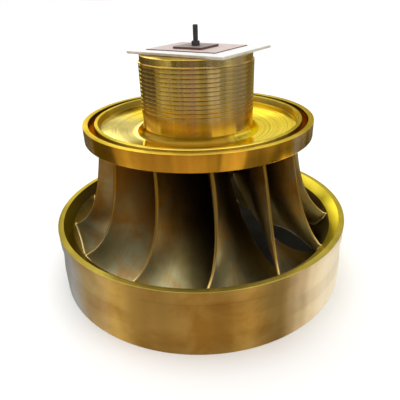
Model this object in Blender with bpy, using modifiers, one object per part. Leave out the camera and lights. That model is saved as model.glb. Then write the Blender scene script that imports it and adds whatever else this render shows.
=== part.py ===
"""A Francis turbine runner standing on its lower band, as it is stored before it is shipped.

Water enters round the outside, between the crown and the band, and leaves downwards
through the eye of the band. A board, a sheet and a steel plate cover the hub, held by
one threaded rod through the bore. Metres, Z up, origin on the axis at the floor.
"""

import math

import bmesh
import bpy
from mathutils import Matrix, Vector

# Counts
BLADE_COUNT = 13
FACETS_PER_BLADE = 6
DISC_SEGMENTS = BLADE_COUNT * FACETS_PER_BLADE
NECK_SEGMENTS = 40
ROD_SEGMENTS = 24

# Clearance between pieces that touch
SEAT_GAP = 0.0003

# Band: outer wall, throat and machined rim
BAND_RADIUS = 0.600
BAND_HEIGHT = 0.2636
BAND_FOOT_RADIUS = 0.603
BAND_WAIST_RADIUS = 0.597
BAND_WAIST_HEIGHT = 0.150
BAND_FOOT_HEIGHT = 0.090
BAND_STEP_HEIGHT = 0.214
BAND_STEP = 0.003
BAND_RIM_WIDTH = 0.021
BAND_MOUTH_HEIGHT = 0.2306
THROAT_RADIUS = 0.522
THROAT_HEIGHT = 0.110
THROAT_CURVATURE_ABOVE = 1.6
THROAT_CURVATURE_BELOW = 1.2

# Crown: rim, lips on top, dished face, and the curve of its water side as radius and height
CROWN_RADIUS = 0.444
CROWN_TOP = 0.655
CROWN_CURVE = ((CROWN_RADIUS, 0.595), (0.320, 0.589), (0.188, 0.570), (0.140, 0.398))
OUTER_LIP_INSIDE = 0.423
INNER_LIP_OUTSIDE = 0.401
INNER_LIP_INSIDE = 0.386
LIP_GROOVE_DEPTH = 0.014
DISH_RIM_RADIUS = 0.384
DISH_RIM_HEIGHT = 0.629
DISH_MIDDLE_RADIUS = 0.315
DISH_MIDDLE_HEIGHT = 0.613
DISH_LOW_HEIGHT = 0.606
DISH_LOW_RADIUS = 0.244
HUB_END_HEIGHT = CROWN_CURVE[-1][1]
BORE_RADIUS = 0.075
CROWN_CURVE_STEPS = 10

# Neck: a sleeve with labyrinth grooves
NECK_RADIUS = 0.2154
NECK_TOP_RADIUS = 0.210
NECK_BORE_RADIUS = 0.130
NECK_FOOT = 0.630
NECK_TOP = 0.890
GROOVE_COUNT = 12
GROOVE_PITCH = 0.0147
GROOVE_TOP = 0.8606
GROOVE_DEPTH = 0.0055
GROOVE_HALF_WIDTH = 0.0035
FIRST_RIB_TOP = 0.8665

# Blade: leading and trailing edges from crown to band, as radius, height and degrees
LEADING_EDGE = ((0.391, 0.592, 5.4), (0.414, 0.440, 8.5), (0.440, 0.262, 6.8), (0.540, 0.221, 1.0))
TRAILING_EDGE = ((0.144, 0.412, 57.5), (0.240, 0.100, 52.6), (0.417, 0.030, 47.4), (0.534, 0.012, 60.0))
FRONT_AZIMUTH = -math.pi / 2
CROWN_END_START = 0.135
CROWN_END_STOP = 0.972
SPAN_BEYOND_CROWN = 0.06
SPAN_BEYOND_BAND = 0.05
SPAN_STEPS = 10
NOSE_LENGTH = 0.02
CHORD_STATIONS = (0.13, 0.28, 0.43, 0.57, 0.70, 0.81, 0.91, 1.0)

# Blade: share of its turn about the axis that grows evenly along it; the rest comes late
EVEN_WRAP_AT_BAND = 0.2
LATE_WRAP_POWER = 2.76

# Blade: thickness
CROWN_NOSE_THICKNESS = 0.013
BAND_NOSE_THICKNESS = 0.009
CROWN_BELLY_THICKNESS = 0.020
BAND_BELLY_THICKNESS = 0.013
TAIL_THICKNESS = 0.005
BELLY_STATION = 0.30

# Reach of the turned shapes that trim the blades' ends
CUTTER_BORE = 0.050
CUTTER_TOP = 0.700
CUTTER_RADIUS = 0.660
CUTTER_FOOT = -0.050

# Cover and clamp on the hub, from the top of the neck up
COVER_SIZE = (0.415, 0.346, 0.010)
COVER_PLACE = (0.014, 0.025)
COVER_TURN = math.radians(-35.0)
SHEET_SIZE = (0.297, 0.237, 0.003)
SHEET_PLACE = (0.005, 0.030)
SHEET_TURN = math.radians(-33.5)
PLATE_SIZE = (0.122, 0.122, 0.008)
PLATE_PLACE = (0.001, 0.010)
PLATE_TURN = math.radians(-33.0)
ROD_RADIUS = 0.010
ROD_TOP = 0.983
ROD_BELOW_NUT = 0.020
ROD_HOLE_RADIUS = 0.0103
NUT_ACROSS_FLATS = 0.030
NUT_HEIGHT = 0.016
LOWER_BAR_SIZE = (0.240, 0.070, 0.012)

# Surface colours, roughness and metallic values
BRONZE = ((0.52, 0.33, 0.10, 1.0), 0.38, 1.0)
BRIGHT_BRONZE = ((0.80, 0.60, 0.20, 1.0), 0.25, 1.0)
BLADE_BRONZE = ((0.36, 0.25, 0.10, 1.0), 0.45, 1.0)
WHITE_BOARD = ((0.82, 0.82, 0.80, 1.0), 0.55, 0.0)
RED_SHEET = ((0.72, 0.36, 0.30, 1.0), 0.50, 0.0)
STEEL = ((0.50, 0.50, 0.50, 1.0), 0.40, 1.0)
DARK_STEEL = ((0.10, 0.10, 0.10, 1.0), 0.50, 1.0)


def clear_scene():
    """Removes whatever the scene held before."""
    for obj in list(bpy.data.objects):
        bpy.data.objects.remove(obj, do_unlink=True)


def new_collection(name):
    collection = bpy.data.collections.new(name)
    bpy.context.scene.collection.children.link(collection)
    return collection


def new_material(name, look):
    """A metal or a paint, from its colour, roughness and metallic value."""
    colour, roughness, metallic = look
    material = bpy.data.materials.new(name)
    material.use_nodes = True
    shader = material.node_tree.nodes["Principled BSDF"]
    shader.inputs["Base Color"].default_value = colour
    shader.inputs["Roughness"].default_value = roughness
    shader.inputs["Metallic"].default_value = metallic
    material.diffuse_color = colour
    return material


def place_in(collection, name, mesh, look=None):
    """Makes an object of this mesh, with its own material where a look is given."""
    obj = bpy.data.objects.new(name, mesh)
    collection.objects.link(obj)
    if look:
        mesh.materials.append(new_material(name, look))
    return obj


def smooth(mesh, sharp_degrees=35.0):
    mesh.shade_smooth()
    mesh.set_sharp_from_angle(angle=math.radians(sharp_degrees))


def turned(name, profile, segments, collection, look=None):
    """Turns a closed profile of (radius, height) about Z. It runs down its outer side."""
    mesh = bpy.data.meshes.new(name)
    points = [(radius, 0.0, height) for radius, height in profile]
    edges = [(i, (i + 1) % len(points)) for i in range(len(points))]
    mesh.from_pydata(points, edges, [])
    obj = place_in(collection, name, mesh, look)
    screw = obj.modifiers.new("turn", "SCREW")
    screw.axis = "Z"
    screw.angle = 2 * math.pi
    screw.steps = segments
    screw.render_steps = segments
    screw.use_merge_vertices = True
    screw.merge_threshold = 0.00001
    screw.use_smooth_shade = look is not None
    return obj


def cut(obj, cutter, name):
    boolean = obj.modifiers.new(name, "BOOLEAN")
    boolean.operation = "DIFFERENCE"
    boolean.solver = "EXACT"
    boolean.object = cutter


def bezier(controls, u):
    """The point at u, from 0 to 1, of the cubic curve with these four control points."""
    v = 1.0 - u
    weights = (v**3, 3 * v * v * u, 3 * v * u * u, u**3)
    return [sum(w * value for w, value in zip(weights, values)) for values in zip(*controls)]


# Profiles of the turned pieces


def crown_water_curve(u):
    """The crown's water side, from its rim at u = 0 to the end of the hub at u = 1."""
    return bezier(CROWN_CURVE, u)


def crown_water_profile():
    return [crown_water_curve(i / CROWN_CURVE_STEPS) for i in range(CROWN_CURVE_STEPS + 1)]


def crown_profile():
    groove_floor = CROWN_TOP - LIP_GROOVE_DEPTH
    profile = [(CROWN_RADIUS, CROWN_TOP)]
    profile += crown_water_profile()
    profile += [(BORE_RADIUS, HUB_END_HEIGHT), (BORE_RADIUS, NECK_FOOT)]
    profile += neck_fillet()
    profile += [(DISH_MIDDLE_RADIUS, DISH_MIDDLE_HEIGHT), (DISH_RIM_RADIUS, DISH_RIM_HEIGHT)]
    profile += [(INNER_LIP_INSIDE, CROWN_TOP), (INNER_LIP_OUTSIDE, CROWN_TOP)]
    profile += [(INNER_LIP_OUTSIDE, groove_floor), (OUTER_LIP_INSIDE, groove_floor)]
    profile += [(OUTER_LIP_INSIDE, CROWN_TOP)]
    return profile


def neck_fillet():
    """A quarter ellipse from the neck's wall down to the dished face."""
    width = DISH_LOW_RADIUS - NECK_RADIUS
    height = NECK_FOOT - DISH_LOW_HEIGHT
    steps = 4
    points = []
    for i in range(steps + 1):
        angle = math.pi / 2 * i / steps
        radius = DISH_LOW_RADIUS - width * math.cos(angle)
        points.append((radius, NECK_FOOT - height * math.sin(angle)))
    return points


def band_throat_radius(height):
    above = height - THROAT_HEIGHT
    curvature = THROAT_CURVATURE_ABOVE if above > 0 else THROAT_CURVATURE_BELOW
    return THROAT_RADIUS + curvature * above**2


def band_water_profile():
    """The band's inner side, from its foot up to the machined cone and the rim."""
    heights = (0.0, 0.040, 0.080, 0.120, 0.160, 0.198, BAND_MOUTH_HEIGHT)
    profile = [(band_throat_radius(height), height) for height in heights]
    profile.append((BAND_RADIUS - BAND_RIM_WIDTH, BAND_HEIGHT))
    return profile


def band_profile():
    step_foot = BAND_STEP_HEIGHT - BAND_STEP
    profile = [(BAND_RADIUS, BAND_HEIGHT), (BAND_RADIUS, BAND_STEP_HEIGHT)]
    profile += [(BAND_WAIST_RADIUS, step_foot), (BAND_WAIST_RADIUS, BAND_WAIST_HEIGHT)]
    profile += [(BAND_FOOT_RADIUS, BAND_FOOT_HEIGHT), (BAND_FOOT_RADIUS, 0.0)]
    return profile + band_water_profile()


def neck_profile():
    foot = NECK_FOOT + SEAT_GAP
    profile = [(NECK_TOP_RADIUS, NECK_TOP), (NECK_TOP_RADIUS, FIRST_RIB_TOP)]
    profile.append((NECK_RADIUS, FIRST_RIB_TOP))
    for i in range(GROOVE_COUNT):
        height = GROOVE_TOP - i * GROOVE_PITCH
        profile.append((NECK_RADIUS, height + GROOVE_HALF_WIDTH))
        profile.append((NECK_RADIUS - GROOVE_DEPTH, height))
        profile.append((NECK_RADIUS, height - GROOVE_HALF_WIDTH))
    profile += [(NECK_RADIUS, foot), (NECK_BORE_RADIUS, foot), (NECK_BORE_RADIUS, NECK_TOP)]
    return profile


def moved_out(profile, distance):
    """Moves an open profile sideways, to the left of its direction in radius and height."""
    points = [Vector(point) for point in profile]
    moved = []
    for i, point in enumerate(points):
        ahead = points[min(i + 1, len(points) - 1)]
        behind = points[max(i - 1, 0)]
        along = (ahead - behind).normalized()
        moved.append(point + Vector((-along.y, along.x)) * distance)
    return [(point.x, point.y) for point in moved]


# Blades


def edge_point(edge, span):
    """Radius, height and azimuth in radians on an edge, from crown at 0 to band at 1."""
    radius, height, degrees = bezier(edge, span)
    return radius, height, math.radians(degrees)


def crown_end(chord):
    return crown_water_curve(CROWN_END_START + (CROWN_END_STOP - CROWN_END_START) * chord)


def band_end(chord):
    height = LEADING_EDGE[3][1] + (TRAILING_EDGE[3][1] - LEADING_EDGE[3][1]) * chord
    return band_throat_radius(height), height


def camber_point(span, chord):
    """A point of the blade's middle surface, blended from its four edges."""
    lead = edge_point(LEADING_EDGE, span)
    trail = edge_point(TRAILING_EDGE, span)
    place = []
    for axis in (0, 1):
        rows = (1 - span) * crown_end(chord)[axis] + span * band_end(chord)[axis]
        columns = (1 - chord) * lead[axis] + chord * trail[axis]
        near = (1 - span) * crown_end(0.0)[axis] + span * band_end(0.0)[axis]
        far = (1 - span) * crown_end(1.0)[axis] + span * band_end(1.0)[axis]
        place.append(rows + columns - (1 - chord) * near - chord * far)
    radius, height = place
    even = EVEN_WRAP_AT_BAND * span
    wrap = even * chord + (1 - even) * max(chord, 0.0) ** LATE_WRAP_POWER
    azimuth = FRONT_AZIMUTH + lead[2] + (trail[2] - lead[2]) * wrap
    return Vector((radius * math.cos(azimuth), radius * math.sin(azimuth), height))


def camber_normal(span, chord):
    step = 0.002
    along = camber_point(span, chord + step) - camber_point(span, chord - step)
    across = camber_point(span + step, chord) - camber_point(span - step, chord)
    return along.cross(across).normalized()


def half_thickness(span, chord):
    """A round nose, a belly a third of the way back, and a thin tail."""
    nose = CROWN_NOSE_THICKNESS + (BAND_NOSE_THICKNESS - CROWN_NOSE_THICKNESS) * span
    belly = CROWN_BELLY_THICKNESS + (BAND_BELLY_THICKNESS - CROWN_BELLY_THICKNESS) * span
    if chord < BELLY_STATION:
        full = nose + (belly - nose) * math.sin(math.pi / 2 * chord / BELLY_STATION)
    else:
        back = (chord - BELLY_STATION) / (1 - BELLY_STATION)
        full = belly + (TAIL_THICKNESS - belly) * back**1.5
    roundness = 1 - max(0.0, 1 - chord / NOSE_LENGTH) ** 2
    return full / 2 * math.sqrt(roundness)


def blade_section(span):
    """One closed loop round the blade: up one side to the nose and back down the other."""
    stations = [NOSE_LENGTH * (1 - math.cos(math.radians(angle))) for angle in (45, 90)]
    stations += CHORD_STATIONS
    loop = []
    for side, order in ((1, reversed(stations)), (-1, stations)):
        if side == -1:
            loop.append(camber_point(span, 0.0))
        for chord in order:
            offset = camber_normal(span, chord) * half_thickness(span, chord) * side
            loop.append(camber_point(span, chord) + offset)
    return loop


def close_end(shape, loop):
    """Fills an end of the blade with a ladder of faces between its two sides, up to the nose."""
    last = len(loop) - 1
    nose = last // 2
    for i in range(nose - 1):
        shape.faces.new((loop[i], loop[i + 1], loop[last - i - 1], loop[last - i]))
    shape.faces.new(loop[nose - 1 : nose + 2])


def blade_blank(collection):
    """The blade before its ends are cut to the crown and the band."""
    mesh = bpy.data.meshes.new("blade_blank")
    shape = bmesh.new()
    loops = []
    for i in range(SPAN_STEPS + 1):
        span = -SPAN_BEYOND_CROWN + (1 + SPAN_BEYOND_CROWN + SPAN_BEYOND_BAND) * i / SPAN_STEPS
        loops.append([shape.verts.new(point) for point in blade_section(span)])
    for one, two in zip(loops, loops[1:]):
        for i in range(len(one)):
            j = (i + 1) % len(one)
            shape.faces.new((one[i], one[j], two[j], two[i]))
    close_end(shape, loops[0])
    close_end(shape, loops[-1])
    bmesh.ops.triangulate(shape, faces=shape.faces)
    bmesh.ops.recalc_face_normals(shape, faces=shape.faces)
    shape.to_mesh(mesh)
    shape.free()
    return place_in(collection, "blade_blank", mesh)


def blade_cutters(collection):
    """The crown and the band as the blades meet them, a seat gap larger."""
    crown_face = moved_out(crown_water_profile(), SEAT_GAP)
    crown_shape = [(crown_face[0][0], CUTTER_TOP)] + crown_face
    crown_shape += [(CUTTER_BORE, crown_face[-1][1]), (CUTTER_BORE, CUTTER_TOP)]
    crown = turned("crown_cutter", crown_shape, DISC_SEGMENTS, collection)
    band_face = moved_out(band_water_profile(), SEAT_GAP)
    band_shape = [(CUTTER_RADIUS, band_face[-1][1]), (CUTTER_RADIUS, CUTTER_FOOT)]
    band_shape.append((band_face[0][0], CUTTER_FOOT))
    band = turned("band_cutter", band_shape + band_face, DISC_SEGMENTS, collection)
    return crown, band


def make_blades(parts, cutters):
    """Cuts one blade to fit, then stands a copy of it in each place."""
    blank = blade_blank(cutters)
    for cutter in blade_cutters(cutters):
        cut(blank, cutter, cutter.name)
    graph = bpy.context.evaluated_depsgraph_get()
    mesh = bpy.data.meshes.new_from_object(blank.evaluated_get(graph))
    mesh.name = "blade"
    mesh.materials.clear()
    smooth(mesh)
    for i in range(BLADE_COUNT):
        name = f"blade_{i + 1:02d}"
        blade = place_in(parts, name, mesh.copy(), BLADE_BRONZE)
        blade.rotation_euler.z = 2 * math.pi * i / BLADE_COUNT


# Cover, clamp and rod


def drilled_box(name, size, place, turn, low, parts, cutters, look):
    """A flat plate that lies at the height low, drilled for the rod on the axis."""
    mesh = bpy.data.meshes.new(name)
    shape = bmesh.new()
    bmesh.ops.create_cube(shape, size=1.0, matrix=Matrix.Diagonal((*size, 1.0)))
    shape.to_mesh(mesh)
    shape.free()
    plate = place_in(parts, name, mesh, look)
    plate.location = (place[0], place[1], low + size[2] / 2)
    plate.rotation_euler.z = turn
    hole = cylinder(f"{name}_hole", ROD_HOLE_RADIUS, low - size[2], low + 2 * size[2], cutters)
    cut(plate, hole, "rod hole")


def cylinder(name, radius, low, high, collection, look=None, segments=ROD_SEGMENTS):
    """An upright cylinder on the axis between two heights."""
    mesh = bpy.data.meshes.new(name)
    shape = bmesh.new()
    middle = Matrix.Translation((0.0, 0.0, (low + high) / 2))
    bmesh.ops.create_cone(
        shape, cap_ends=True, segments=segments, radius1=radius, radius2=radius,
        depth=high - low, matrix=middle,
    )
    shape.to_mesh(mesh)
    shape.free()
    return place_in(collection, name, mesh, look)


def make_nut(name, low, parts, cutters):
    corner_radius = NUT_ACROSS_FLATS / math.sqrt(3)
    nut = cylinder(name, corner_radius, low, low + NUT_HEIGHT, parts, DARK_STEEL, segments=6)
    hole = cylinder(f"{name}_hole", ROD_HOLE_RADIUS, low - NUT_HEIGHT, low + 2 * NUT_HEIGHT, cutters)
    cut(nut, hole, "rod hole")


def make_clamp(parts, cutters):
    """The stack on top of the neck, the bar under the hub, and the rod that draws them together."""
    low = NECK_TOP
    stack = (
        ("cover_board", COVER_SIZE, COVER_PLACE, COVER_TURN, WHITE_BOARD),
        ("packing_sheet", SHEET_SIZE, SHEET_PLACE, SHEET_TURN, RED_SHEET),
        ("clamp_plate", PLATE_SIZE, PLATE_PLACE, PLATE_TURN, STEEL),
    )
    for name, size, place, turn, look in stack:
        low += SEAT_GAP
        drilled_box(name, size, place, turn, low, parts, cutters, look)
        low += size[2]
    make_nut("top_nut", low + SEAT_GAP, parts, cutters)
    bar_low = HUB_END_HEIGHT - SEAT_GAP - LOWER_BAR_SIZE[2]
    drilled_box("lower_clamp_bar", LOWER_BAR_SIZE, (0.0, 0.0), 0.0, bar_low, parts, cutters, STEEL)
    nut_low = bar_low - SEAT_GAP - NUT_HEIGHT
    make_nut("lower_nut", nut_low, parts, cutters)
    cylinder("clamp_rod", ROD_RADIUS, nut_low - ROD_BELOW_NUT, ROD_TOP, parts, DARK_STEEL)


def build():
    clear_scene()
    parts = new_collection("francis_runner")
    cutters = new_collection("cutters")
    turned("crown", crown_profile(), DISC_SEGMENTS, parts, BRIGHT_BRONZE)
    turned("labyrinth_neck", neck_profile(), NECK_SEGMENTS, parts, BRONZE)
    turned("band", band_profile(), DISC_SEGMENTS, parts, BRONZE)
    make_blades(parts, cutters)
    make_clamp(parts, cutters)
    for cutter in cutters.objects:
        cutter.hide_render = True
        cutter.display_type = "WIRE"


build()
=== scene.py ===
"""Looks of a loose bronze Francis turbine runner, which stands on its band.

A turned crown and band, thirteen twisted blades between them, a neck with labyrinth grooves,
and a board, a sheet and a steel plate clamped over the hub by a nut on a threaded rod.
Metres, +Z up, origin on the runner's axis at the floor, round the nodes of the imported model.
"""

import math

import bpy
import numpy as np
from mathutils import Matrix, Vector


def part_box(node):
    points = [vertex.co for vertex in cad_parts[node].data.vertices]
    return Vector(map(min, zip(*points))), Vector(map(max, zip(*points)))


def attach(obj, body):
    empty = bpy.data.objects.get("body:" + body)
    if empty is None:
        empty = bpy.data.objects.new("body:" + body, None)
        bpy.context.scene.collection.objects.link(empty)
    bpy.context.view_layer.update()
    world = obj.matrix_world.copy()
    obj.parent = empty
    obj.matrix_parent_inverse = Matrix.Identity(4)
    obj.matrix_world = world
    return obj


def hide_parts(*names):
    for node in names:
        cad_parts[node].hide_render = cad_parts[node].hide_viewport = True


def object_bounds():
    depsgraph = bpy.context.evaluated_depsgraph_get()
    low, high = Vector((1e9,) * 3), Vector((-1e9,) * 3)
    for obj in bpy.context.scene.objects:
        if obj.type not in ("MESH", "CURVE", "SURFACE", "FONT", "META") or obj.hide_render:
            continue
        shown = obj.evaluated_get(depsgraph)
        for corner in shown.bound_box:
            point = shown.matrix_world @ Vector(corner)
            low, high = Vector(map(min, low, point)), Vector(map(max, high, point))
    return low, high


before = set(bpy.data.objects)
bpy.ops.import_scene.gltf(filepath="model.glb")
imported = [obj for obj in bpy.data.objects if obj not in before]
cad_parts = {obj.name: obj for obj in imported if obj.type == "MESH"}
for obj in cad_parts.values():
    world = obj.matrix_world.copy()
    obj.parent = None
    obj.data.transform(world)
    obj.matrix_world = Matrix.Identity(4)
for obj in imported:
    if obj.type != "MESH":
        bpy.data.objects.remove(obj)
cad_low, cad_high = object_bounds()

# Band: outer wall, throat and machined rim. The wall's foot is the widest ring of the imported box
BAND_FOOT_RADIUS = cad_high.y
BAND_STEP = 0.003
BAND_RADIUS = BAND_FOOT_RADIUS - BAND_STEP
BAND_WAIST_RADIUS = BAND_RADIUS - BAND_STEP
BAND_HEIGHT = 0.2636
BAND_STEP_HEIGHT = 0.214
BAND_WAIST_HEIGHT = 0.150
BAND_FOOT_HEIGHT = 0.090
BAND_WAIST_BLEND = 0.05
BAND_RIM_WIDTH = 0.021
BAND_FOOT_WIDTH = 0.03
BAND_MOUTH_HEIGHT = 0.2306
THROAT_TOP = BAND_MOUTH_HEIGHT - 0.002
THROAT_RADIUS = 0.522
THROAT_HEIGHT = 0.110
THROAT_CURVATURE_ABOVE = 1.6
THROAT_CURVATURE_BELOW = 1.2

# Crown: rim, lips on top and how far down their bright metal reaches into the groove between them,
# and the curves of its water side and dished face as radius and height
CROWN_RADIUS = 0.444
CROWN_TOP = 0.655
CROWN_UNDERSIDE = 0.595
UNDERSIDE_FALL = 0.0004
CROWN_CURVE = ((CROWN_RADIUS, CROWN_UNDERSIDE), (0.320, 0.589), (0.188, 0.570), (0.140, 0.398))
OUTER_LIP_MIDDLE = 0.434
OUTER_LIP_INSIDE = 0.423
OUTER_LIP_METAL = 0.004
INNER_LIP_OUTSIDE = 0.401
INNER_LIP_INSIDE = 0.386
INNER_LIP_FOOT = (0.3845, 0.6290)
INNER_LIP_METAL = 0.006
LIP_GROOVE_DEPTH = 0.014
DISH_LOW = (0.244, 0.606)
DISH_EDGE = (0.3795, 0.6275)
DISH_CURVE = (DISH_LOW, (0.270, 0.6062), (0.345, 0.6185), DISH_EDGE)
BORE_RADIUS = 0.075

# Neck: a sleeve with labyrinth grooves
NECK_RADIUS = 0.2154
NECK_TOP_RADIUS = 0.210
NECK_BORE_RADIUS = 0.130
NECK_FOOT = 0.630
NECK_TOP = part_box("labyrinth_neck")[1].z
NECK_TOP_WIDTH = 0.03
NECK_SEAT_WIDTH = 0.020
GROOVE_COUNT = 12
GROOVE_PITCH = 0.0147
GROOVE_TOP = 0.8606
GROOVE_DEPTH = 0.0028
GROOVE_HALF_WIDTH = 0.0018
FIRST_RIB_TOP = 0.8665
NECK_STEP_EDGE = 0.001
RIB_EDGE = 0.0008
GROOVE_ROOT = 0.0005

# Radii of the turned castings' edges
FINE_EDGE = 0.0012
EDGE = 0.0015
SOFT_EDGE = 0.002
LIP_EDGE = 0.0025
GROOVE_CORNER = 0.003

# Blade: leading and trailing edges from crown to band, as radius, height and degrees
BLADE_COUNT = 13
LEADING_EDGE = ((0.391, 0.592, 5.4), (0.414, 0.440, 8.5), (0.440, 0.262, 6.8), (0.540, 0.221, 1.0))
TRAILING_EDGE = ((0.144, 0.412, 57.5), (0.240, 0.100, 52.6), (0.417, 0.030, 47.4), (0.534, 0.012, 60.0))
FRONT_AZIMUTH = -math.pi / 2
CROWN_END_START = 0.135
CROWN_END_STOP = 0.972
NOSE_LENGTH = 0.02
EVEN_WRAP_AT_BAND = 0.2
LATE_WRAP_POWER = 2.76
CROWN_NOSE_THICKNESS = 0.013
BAND_NOSE_THICKNESS = 0.009
CROWN_BELLY_THICKNESS = 0.020
BAND_BELLY_THICKNESS = 0.013
TAIL_THICKNESS = 0.005
BELLY_STATION = 0.30
TAIL_START = 0.996
TAIL_TAPER = 1.5
TAIL_ROUNDNESS = 0.7
BLADE_LOW = 0.001

# Blade mesh: how finely it is divided, how far its ends run into the castings, its root fillets,
# and how far back the nose's fillets and the masks for the nose and the root reach
SPAN_ROWS = 72
SPAN_EASING = 0.6
CHORD_STEPS = 46
CHORD_CROWDING = 1.25
NOSE_STEPS = 7
TAIL_STATIONS = (0.9985, 1.0)
SPAN_INTO_CROWN = 0.012
SPAN_INTO_BAND = 0.014
ROOT_FILLET = 0.011
NOSE_ROOT_FILLET = 0.006
NOSE_FILLET_REACH = 0.045
NOSE_MASK_REACH = 0.009
ROOT_MASK_REACH = 0.035

# Cover and clamp on the hub
COVER_TURN = math.radians(-35.0)
SHEET_TURN = math.radians(-33.5)
PLATE_TURN = math.radians(-33.0)
COVER_SIZE = (0.415, 0.346, 0.010)
COVER_PLACE = (0.014, 0.025)
SHEET_SIZE = (0.297, 0.237, 0.003)
SHEET_PLACE = (0.005, 0.030)
PLATE_SIZE = (0.122, 0.122, 0.008)
PLATE_PLACE = (0.001, 0.010)
LOWER_BAR_SIZE = (0.240, 0.070, 0.012)
SLAB_RING_SHARES = np.linspace(0.25, 1.0, 8)[:-1]
ROD_RADIUS = 0.010
ROD_HOLE_RADIUS = 0.0103
ROD_CHAMFER = 0.0018
THREAD_PITCH = 0.0025
THREAD_DEPTH = 0.0012
THREAD_LENGTH = 0.110
THREAD_RUN_OUT = 0.004
ROWS_PER_THREAD = 8
NUT_ACROSS_FLATS = 0.030
NUT_FACE_SHARE = 0.96
NUT_CHAMFER = math.radians(30)
COUNTERSINK = 0.001

# Meshes: the angle from which an edge is shaded sharp, and how finely shapes are divided
SHARP_ANGLE = math.radians(40)
RING_SEGMENTS = 24 * BLADE_COUNT
NECK_SEGMENTS = 240
ROD_SEGMENTS = 40
NUT_SEGMENTS = 96
SLAB_SIDE_SEGMENTS = 24
FLOOR_SEGMENTS = 96

# Floor: the radius where its two rings meet, and its outer one
FLOOR_SPLIT = 1.05
FLOOR_RADIUS = 80.0

# Metal: its tool marks' depth, the full-strength part of a wash of painted light or shade, and the rusty
# side
TOOL_MARK_DEPTH = 0.000006
PAINTED_LIGHT_CORE = 0.3
RUST_AZIMUTH = 200.0

# Studio: the room's own light, and soft panels as azimuth, half width, lowest and highest elevation
# in degrees, strength and colour. The front is at -90 degrees, the right at 0 and the back at 90
ROOM = (0.10, 0.10, 0.105)
PANEL_CORE = 0.96
PANEL_SOFTNESS = math.radians(3.0)
PANELS = (
    # Low panels, which the walls, the neck and the blades mirror
    (-125.0, 54.0, -58.0, -5.0, 0.32, (1.0, 0.92, 0.82)),
    (-58.0, 12.0, -58.0, -2.0, 0.60, (1.0, 0.97, 0.90)),
    (-92.0, 24.0, -58.0, 6.0, 0.12, (1.0, 0.90, 0.80)),
    (10.0, 62.0, -16.0, 6.0, 0.13, (1.0, 1.0, 1.0)),
    (-32.0, 16.0, -58.0, 10.0, 0.12, (1.0, 1.0, 1.0)),
    (-162.0, 5.0, -58.0, -10.0, 0.16, (0.90, 1.0, 0.90)),
    (164.0, 34.0, -58.0, -34.0, 0.9, (0.85, 0.98, 1.25)),
    (40.0, 40.0, -58.0, -29.0, 2.0, (0.95, 0.96, 1.0)),
    # Windows on the left, the right and in front
    (175.0, 45.0, 9.0, 27.0, 1.7, (1.0, 0.98, 0.92)),
    (5.0, 40.0, 9.0, 27.0, 1.1, (1.0, 1.0, 0.95)),
    (-100.0, 70.0, 30.0, 52.0, 0.15, (1.0, 1.0, 1.0)),
    (-30.0, 30.0, 18.0, 52.0, 1.2, (1.0, 1.0, 0.94)),
    # Windows at the back, of which the first makes the bright patch on the dish
    (108.6, 12.4, 8.0, 18.2, 2.9, (0.97, 1.0, 0.98)),
    (100.0, 9.0, 18.4, 24.0, 0.5, (0.98, 1.0, 0.95)),
    (68.0, 20.0, 6.0, 50.0, 0.78, (0.98, 1.0, 0.95)),
    (96.0, 16.0, 24.0, 52.0, 1.2, (0.98, 1.0, 0.95)),
    (150.0, 32.0, 32.0, 52.0, 1.7, (1.0, 1.0, 0.95)),
    # Ceiling
    (90.0, 180.0, 52.0, 90.0, 2.0, (1.0, 1.0, 1.0)),
)


# Shapes


def bezier(controls, u):
    """Points of a cubic curve, one for each value of u from 0 to 1; the last axis is the place."""
    u = np.asarray(u, float)[..., None]
    v = 1.0 - u
    a, b, c, d = np.array(controls, float)
    return a * v**3 + b * 3 * v * v * u + c * 3 * v * u * u + d * u**3


def rounded(corners, arc_steps=4):
    """An open outline of (radius, height, fillet) with each corner turned into an arc of that fillet."""
    points = []
    for i, (radius, height, fillet) in enumerate(corners):
        here = np.array((radius, height))
        if fillet == 0 or i in (0, len(corners) - 1):
            points.append(here)
            continue
        back = np.array(corners[i - 1][:2]) - here
        ahead = np.array(corners[i + 1][:2]) - here
        back /= np.linalg.norm(back)
        ahead /= np.linalg.norm(ahead)
        half_angle = math.acos(float(np.clip(back @ ahead, -1, 1))) / 2
        reach = fillet / math.tan(half_angle)
        middle = (back + ahead) / np.linalg.norm(back + ahead)
        centre = here + middle * fillet / math.sin(half_angle)
        start = here + back * reach - centre
        end = here + ahead * reach - centre
        turn = math.atan2(start[0] * end[1] - start[1] * end[0], start @ end)
        for step in range(arc_steps + 1):
            angle = turn * step / arc_steps
            c, s = math.cos(angle), math.sin(angle)
            points.append(centre + (start[0] * c - start[1] * s, start[0] * s + start[1] * c))
    return points


def grid_mesh(name, points, wrap_rows=False, close_ends=False, row_material=None):
    """A mesh over points[row, column], closed round its columns, with row_material giving each row's
    material index.
    """
    rows, columns = points.shape[:2]
    index = np.arange(rows * columns).reshape(rows, columns)
    below = index if wrap_rows else index[:-1]
    above = np.roll(index, -1, axis=0)[: len(below)]
    faces = np.stack(
        [below, np.roll(below, -1, axis=1), np.roll(above, -1, axis=1), above], axis=-1
    ).reshape(-1, 4)
    faces = faces.tolist()
    if close_ends:
        faces += ladder(index[0], reverse=True) + ladder(index[-1], reverse=False)
    mesh = bpy.data.meshes.new(name)
    mesh.from_pydata(points.reshape(-1, 3).tolist(), [], faces)
    if row_material is not None:
        material_index = np.zeros(len(faces), np.int32)
        material_index[: len(below) * columns] = np.repeat(row_material[: len(below)], columns)
        mesh.polygons.foreach_set("material_index", material_index)
    mesh.update()
    return mesh


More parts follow.
